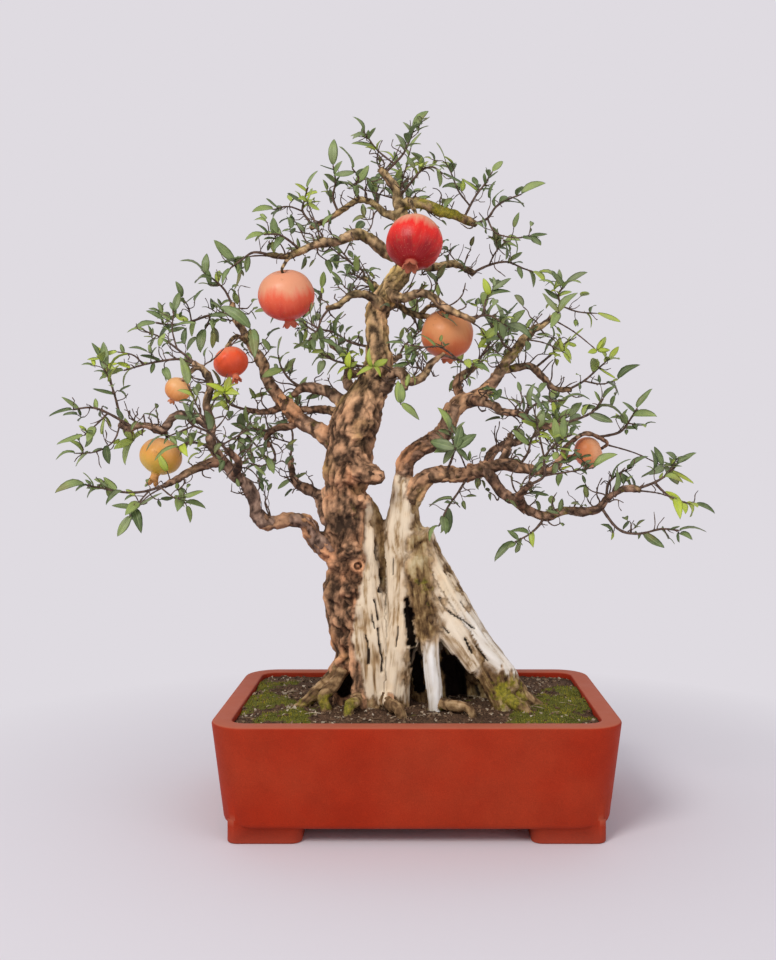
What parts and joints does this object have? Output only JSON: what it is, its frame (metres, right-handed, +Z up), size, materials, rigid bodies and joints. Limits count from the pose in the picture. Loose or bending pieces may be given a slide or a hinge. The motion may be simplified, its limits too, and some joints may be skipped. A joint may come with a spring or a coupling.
{
  "type": "pomegranate bonsai",
  "caption": "Pomegranate bonsai in its rectangular footed clay pot: gnarled trunk with bleached deadwood, spreading limbs, leafy sprays and hanging fruit.",
  "frame": {"origin": "middle of the bounding box at the base, level with the undersides of the pot's feet", "axes": "+Z up, +X to the right along the pot's long side, +Y to the back; the front of the tree faces -Y"},
  "size_m": [0.7404, 0.4504, 0.8512],
  "materials": {
    "clay": "unglazed red-brown clay, smooth and matt",
    "soil": "damp gritty soil with moss",
    "bark": "rough brown bark, bleached where the wood is bare",
    "foliage": "thin waxy leaves on brown twigs",
    "skin_red": "smooth waxy red skin",
    "skin_orange": "smooth waxy orange skin",
    "skin_yellow": "smooth waxy yellow-orange skin"
  },
  "bodies": {
    "root": {"pot": "clay", "soil": "soil", "trunk": "bark", "fruit_1": "skin_red", "fruit_2": "skin_red", "fruit_3": "skin_orange", "fruit_4": "skin_red", "fruit_5": "skin_orange", "fruit_6": "skin_yellow", "fruit_7": "skin_orange", "spray_01": "foliage", "spray_02": "foliage", "spray_03": "foliage", "spray_04": "foliage", "spray_05": "foliage", "spray_06": "foliage", "spray_07": "foliage", "spray_08": "foliage", "spray_09": "foliage", "spray_10": "foliage", "spray_11": "foliage", "spray_12": "foliage", "spray_13": "foliage", "spray_14": "foliage", "spray_15": "foliage", "spray_16": "foliage", "spray_17": "foliage", "spray_18": "foliage", "spray_19": "foliage", "spray_20": "foliage", "spray_21": "foliage", "spray_22": "foliage", "spray_23": "foliage", "spray_24": "foliage", "spray_25": "foliage", "spray_26": "foliage", "spray_27": "foliage", "spray_28": "foliage", "spray_29": "foliage", "spray_30": "foliage", "spray_31": "foliage", "spray_32": "foliage", "spray_33": "foliage", "spray_34": "foliage", "spray_35": "foliage", "spray_36": "foliage", "spray_37": "foliage", "spray_38": "foliage", "spray_39": "foliage", "spray_40": "foliage", "spray_41": "foliage", "spray_42": "foliage", "spray_43": "foliage", "spray_44": "foliage", "spray_45": "foliage", "spray_46": "foliage", "spray_47": "foliage", "spray_48": "foliage", "spray_49": "foliage", "spray_50": "foliage"}
  },
  "joints": []
}
